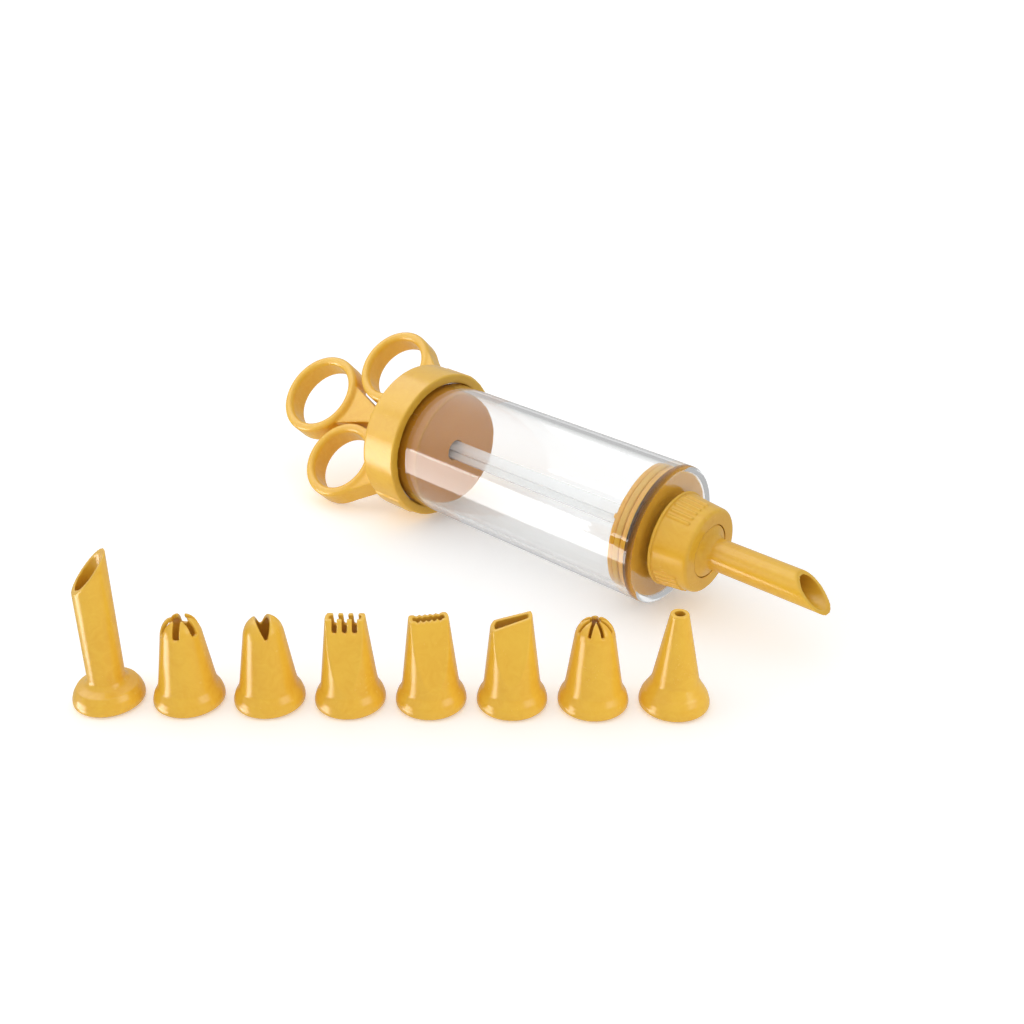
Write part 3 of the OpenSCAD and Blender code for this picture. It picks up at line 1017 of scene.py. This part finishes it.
def light_room(studio):
    """The room: brighter above, a white panel that shiny surfaces mirror, and a white backdrop."""
    world = bpy.data.worlds.new("studio_room")
    world.use_nodes = True
    tree = world.node_tree
    room = tree.nodes["Background"]
    room.inputs["Color"].default_value = (1, 1, 1, 1)
    sky = add_node(tree, "ShaderNodeTexCoord", "sky")
    height = add_node(
        tree,
        "ShaderNodeVectorMath",
        "towards the soft light",
        {0: sky.outputs["Generated"], 1: Vector(GLOW_TOWARDS).normalized()},
        operation="DOT_PRODUCT",
    )
    glow = add_node(
        tree,
        "ShaderNodeMapRange",
        "soft light",
        {
            "Value": height.outputs["Value"],
            "From Min": 0.0,
            "From Max": GLOW_FULL,
            "To Min": studio.room_light,
            "To Max": studio.top_light,
        },
        interpolation_type="SMOOTHSTEP",
    )
    panel = add_node(
        tree,
        "ShaderNodeVectorMath",
        "towards the white panel",
        {0: sky.outputs["Generated"], 1: Vector(PANEL_TOWARDS).normalized()},
        operation="DOT_PRODUCT",
    )
    gleam = add_node(
        tree,
        "ShaderNodeMapRange",
        "white panel",
        {
            "Value": panel.outputs["Value"],
            "From Min": math.cos(PANEL_EDGE),
            "From Max": math.cos(PANEL_CORE),
            "To Min": 0.0,
            "To Max": studio.side_gleam,
        },
    )
    path = add_node(tree, "ShaderNodeLightPath", "path")
    total = add_node(
        tree,
        "ShaderNodeMath",
        "panel in reflections",
        {0: gleam.outputs["Result"], 1: path.outputs["Is Glossy Ray"], 2: glow.outputs["Result"]},
        operation="MULTIPLY_ADD",
    )
    seen = add_node(
        tree,
        "ShaderNodeMix",
        "white backdrop",
        {0: path.outputs["Is Camera Ray"], 2: total.outputs[0], 3: studio.backdrop},
        data_type="FLOAT",
    )
    tree.links.new(seen.outputs[0], room.inputs["Strength"])
    bpy.context.scene.world = world


def hang_lights(studio):
    """A side light and a roof that leave out the clear pieces, and a lamp for the loose nozzles alone."""
    unlit = CLEAR_PIECES + LOOSE_PIECES
    soft_light("side_light", studio.side_power, SIDE_PLACE, SIDE_SIZE, unlit, "EXCLUDE")
    roof = soft_light("roof_light", studio.roof_power, ROOF_PLACE, ROOF_SIZE, CLEAR_PIECES, "EXCLUDE")
    roof.visible_diffuse = False
    soft_light("row_light", studio.row_power, ROW_PLACE, ROW_SIZE, LOOSE_PIECES, "INCLUDE")


def set_camera(studio):
    """The camera at the photograph's viewing angle."""
    turn = studio.camera_heading
    dip = studio.camera_dip
    right = Vector((math.cos(turn), math.sin(turn), 0))
    away = Vector((-math.sin(turn), math.cos(turn), 0))
    look = away * math.cos(dip) - Vector((0, 0, 1)) * math.sin(dip)
    up = right.cross(look)
    aim = Matrix((right, up, -look)).transposed().to_4x4()
    camera = bpy.data.objects.new("photo_camera", bpy.data.cameras.new("photo_camera"))
    camera.matrix_world = Matrix.Translation(Vector(studio.camera_place)) @ aim
    camera.data.lens = studio.camera_lens
    camera.data.sensor_width = SENSOR_WIDTH
    camera.data.clip_start = NEAREST_SEEN
    bpy.context.scene.collection.objects.link(camera)
    bpy.context.scene.camera = camera


class SYRINGE_OT_studio(bpy.types.Operator):
    """Lay the pale floor and set the soft light and the camera."""

    bl_idname = "syringe.studio"
    bl_label = "Studio"

    def execute(self, context):
        studio = context.scene.syringe_studio
        lay_floor(studio)
        light_room(studio)
        hang_lights(studio)
        set_camera(studio)
        context.scene.view_settings.view_transform = "Standard"
        return {"FINISHED"}


OPERATORS = (
    SYRINGE_OT_barrel,
    SYRINGE_OT_rear_cap,
    SYRINGE_OT_plunger,
    SYRINGE_OT_piston,
    SYRINGE_OT_front,
    SYRINGE_OT_loose_nozzles,
    SYRINGE_OT_studio,
)


class SYRINGE_PT_panel(bpy.types.Panel):
    """Lists the steps that dress the syringe and the values they use."""

    bl_idname = "SYRINGE_PT_panel"
    bl_label = "Pastry syringe"
    bl_space_type = "VIEW_3D"
    bl_region_type = "UI"
    bl_category = "Syringe"

    def draw(self, context):
        for group in ("syringe_finish", "syringe_form", "syringe_studio"):
            values = getattr(context.scene, group)
            box = self.layout.box()
            for key in values.__annotations__:
                box.prop(values, key)
        for step in OPERATORS:
            self.layout.operator(step.bl_idname)


CLASSES = (SyringeFinish, SyringeForm, SyringeStudio) + OPERATORS + (SYRINGE_PT_panel,)


def register():
    for cls in CLASSES:
        bpy.utils.register_class(cls)
    bpy.types.Scene.syringe_finish = PointerProperty(type=SyringeFinish)
    bpy.types.Scene.syringe_form = PointerProperty(type=SyringeForm)
    bpy.types.Scene.syringe_studio = PointerProperty(type=SyringeStudio)


def unregister():
    del bpy.types.Scene.syringe_studio
    del bpy.types.Scene.syringe_form
    del bpy.types.Scene.syringe_finish
    for cls in reversed(CLASSES):
        bpy.utils.unregister_class(cls)


def main():
    register()
    bpy.ops.syringe.barrel()
    bpy.ops.syringe.rear_cap()
    bpy.ops.syringe.plunger()
    bpy.ops.syringe.piston()
    bpy.ops.syringe.front()
    bpy.ops.syringe.loose_nozzles()
    bpy.ops.syringe.studio()


if __name__ == "__main__":
    main()
